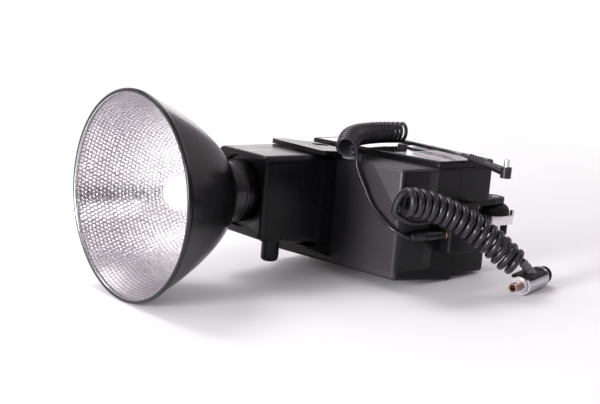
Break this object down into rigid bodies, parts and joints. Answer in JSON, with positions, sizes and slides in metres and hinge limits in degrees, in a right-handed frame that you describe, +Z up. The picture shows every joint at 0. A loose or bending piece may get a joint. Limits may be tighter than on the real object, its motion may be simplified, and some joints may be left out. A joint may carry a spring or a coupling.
{
  "type": "handle-mount photo flash",
  "caption": "Battery-powered photo flash lying on its side: large round reflector on a tilting head, slab-sided body, coupling foot, and two curly cords ending in connectors.",
  "frame": {"origin": "centre of the underside of the box round the flash as it lies, cords left out", "axes": "+X runs back from the reflector's mouth towards the body, level with the surface; +Y towards the flash's upper end in use; +Z up from the surface it lies on"},
  "size_m": [0.2812, 0.2162, 0.1398],
  "materials": {
    "black_case": "satin, fine grain",
    "bowl_black": "satin black outside, hammered silver inside",
    "collar_black": "gloss",
    "glass": "clear",
    "tube_glass": "frosted",
    "ceramic": "matte",
    "ring_metal": "brushed",
    "brass": "polished",
    "panel_pale": "gloss",
    "knob_grey": "satin",
    "switch_black": "satin",
    "button_red": "gloss",
    "cells": "gloss",
    "inner_plastic": "matte",
    "sleeve_blue": "gloss",
    "winding": "varnished",
    "board": "matte",
    "rubber": "matte",
    "foot_black": "rough",
    "foot_silver": "satin",
    "cord_black": "satin"
  },
  "bodies": {
    "body": {"tilt_shaft": "ring_metal", "ear_upper": "black_case", "ear_lower": "black_case", "main_shell": "black_case", "rear_shell": "black_case", "side_cover": "black_case", "corner_guard": "black_case", "panel_housing": "black_case", "panel_glass": "panel_pale", "battery_cells": "cells", "battery_tray": "inner_plastic", "capacitor": "sleeve_blue", "transformer": "winding", "main_board": "board", "case_screws": "ring_metal", "socket_housing": "black_case", "sync_socket": "brass", "cord_gland": "rubber", "foot_flange": "foot_black", "foot_plate": "foot_silver", "thick_tail": "cord_black", "thick_coil": "cord_black", "thick_lead": "cord_black", "thick_relief": "rubber", "plug_block": "foot_black", "plug_sleeve": "foot_silver", "plug_barrel": "brass", "plug_lock": "foot_black", "thin_plug": "rubber", "thin_lead_in": "cord_black", "thin_coil": "cord_black", "thin_lead_out": "cord_black", "pc_plug": "rubber", "pc_tip": "foot_silver"},
    "head": {"bayonet_ring": "ring_metal", "end_cap": "black_case", "head_shell_upper": "black_case", "head_shell_lower": "black_case", "tilt_barrel": "black_case", "trigger_coil": "winding", "knob_guide": "black_case", "tube_base": "ceramic", "flash_tube": "tube_glass", "glass_dome": "glass", "friction_washers": "brass"},
    "reflector": {"reflector_bowl": "bowl_black", "reflector_collar": "collar_black"},
    "release": {"release_knob": "black_case"},
    "selector": {"selector_knob": "knob_grey"},
    "mode_switch": {"mode_slide": "switch_black"},
    "test_key": {"test_button": "button_red"},
    "lid": {"battery_lid": "black_case"},
    "lock_wheel": {"foot_wheel": "foot_black"},
    "clamp_knob": {"foot_knob": "foot_black"}
  },
  "joints": [
    {"name": "head_tilt", "type": "hinge", "parent": "body", "child": "head", "pos_m": [0.02341, 0.0128, 0.05864], "axis": [-0.0709, 0, -0.9975], "range_deg": [0, 66]},
    {"name": "reflector_turn", "type": "hinge", "parent": "head", "child": "reflector", "pos_m": [-0.04392, 0.0128, 0.06342], "axis": [0.9975, 0, -0.0709], "range_deg": [0, 30]},
    {"name": "release_push", "type": "slide", "parent": "head", "child": "release", "axis": [0.0709, 0, 0.9975], "range_m": [0, 0.003], "stiffness_N_per_m": 400, "springref_m": -0.0005},
    {"name": "selector_turn", "type": "hinge", "parent": "body", "child": "selector", "pos_m": [0.07505, -0.0202, 0.08705], "axis": [0.0709, 0, 0.9975], "range_deg": [-60, 60]},
    {"name": "mode_move", "type": "slide", "parent": "body", "child": "mode_switch", "axis": [0, 1, 0], "range_m": [-0.004, 0.004]},
    {"name": "test_push", "type": "slide", "parent": "body", "child": "test_key", "axis": [-0.0709, 0, -0.9975], "range_m": [0, 0.0009], "stiffness_N_per_m": 600, "springref_m": -0.0005},
    {"name": "lid_slide", "type": "slide", "parent": "body", "child": "lid", "axis": [0, -1, 0], "range_m": [0, 0.012]},
    {"name": "wheel_turn", "type": "hinge", "parent": "body", "child": "lock_wheel", "pos_m": [0.12907, -0.0622, 0.04311], "axis": [0.0709, 0, 0.9975], "continuous": true},
    {"name": "clamp_turn", "type": "hinge", "parent": "body", "child": "clamp_knob", "pos_m": [0.13442, -0.0662, 0.02669], "axis": [0.0709, 0, 0.9975], "continuous": true}
  ]
}
